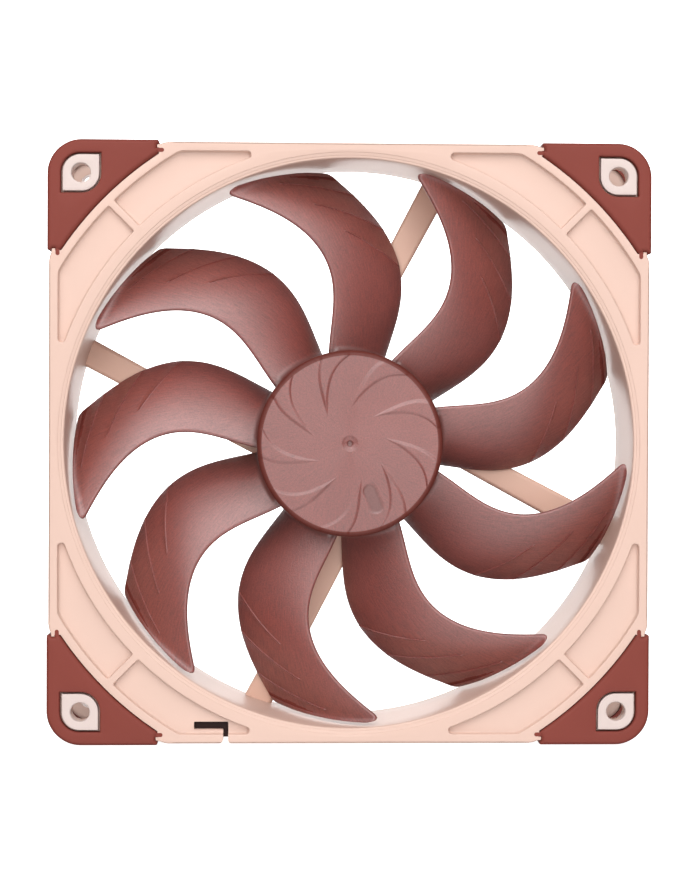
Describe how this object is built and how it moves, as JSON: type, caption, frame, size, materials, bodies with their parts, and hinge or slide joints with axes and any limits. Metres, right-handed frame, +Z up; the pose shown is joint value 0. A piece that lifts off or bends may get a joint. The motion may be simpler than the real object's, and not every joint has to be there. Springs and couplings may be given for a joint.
{
  "type": "case fan",
  "caption": "Square case fan with rubber corner pads, an offset-strut motor mount and a curved-blade impeller that spins freely on its bearing.",
  "frame": {"origin": "centre of the fan: on the spin axis, at mid-depth", "axes": "+Y along the spin axis, the way the air leaves; +Z up; +X to the right seen from the intake"},
  "size_m": [0.14, 0.025, 0.14],
  "materials": {
    "frame_plastic": "satin moulded, peach beige",
    "pad_rubber": "matte soft rubber, red brown",
    "impeller_plastic": "fine grained moulding with a soft sheen, brown mauve",
    "yoke_steel": "pressed and plated",
    "magnet": "bonded ferrite, dark grey",
    "brass": "turned",
    "sintered_bronze": "porous, oiled",
    "shaft_steel": "ground",
    "white_nylon": "smooth",
    "core_steel": "stacked silicon steel plates",
    "bobbin_plastic": "moulded",
    "copper_winding": "enamelled copper wire, wound in layers",
    "board": "green solder mask",
    "chip_black": "moulded epoxy",
    "chip_ceramic": "ceramic",
    "tin": "tinned",
    "label": "plain matt foil"
  },
  "bodies": {
    "frame": {"frame": "frame_plastic", "front_pad_top_left": "pad_rubber", "front_pad_top_right": "pad_rubber", "front_pad_bottom_left": "pad_rubber", "front_pad_bottom_right": "pad_rubber", "rear_pad_top_left": "pad_rubber", "rear_pad_top_right": "pad_rubber", "rear_pad_bottom_left": "pad_rubber", "rear_pad_bottom_right": "pad_rubber", "bearing_tube": "brass", "sleeve_bearing": "sintered_bronze", "bearing_seal": "white_nylon", "retaining_clip": "white_nylon", "thrust_plate": "shaft_steel", "lift_magnet": "magnet", "bearing_cap": "brass", "stator_core": "core_steel", "upper_bobbin": "bobbin_plastic", "lower_bobbin": "bobbin_plastic", "coil_1": "copper_winding", "coil_2": "copper_winding", "coil_3": "copper_winding", "coil_4": "copper_winding", "circuit_board": "board", "driver_chip": "chip_black", "hall_sensor": "chip_black", "chip_parts": "chip_ceramic", "terminal_pins": "tin", "solder_pads": "tin", "rear_label": "label"},
    "rotor": {"impeller": "impeller_plastic", "rotor_yoke": "yoke_steel", "ring_magnet": "magnet", "hub_bush": "brass", "shaft": "shaft_steel", "oil_washer": "white_nylon"}
  },
  "joints": [
    {"name": "rotor_spin", "type": "hinge", "parent": "frame", "child": "rotor", "pos_m": [0, 0, 0], "axis": [0, -1, 0], "continuous": true}
  ]
}
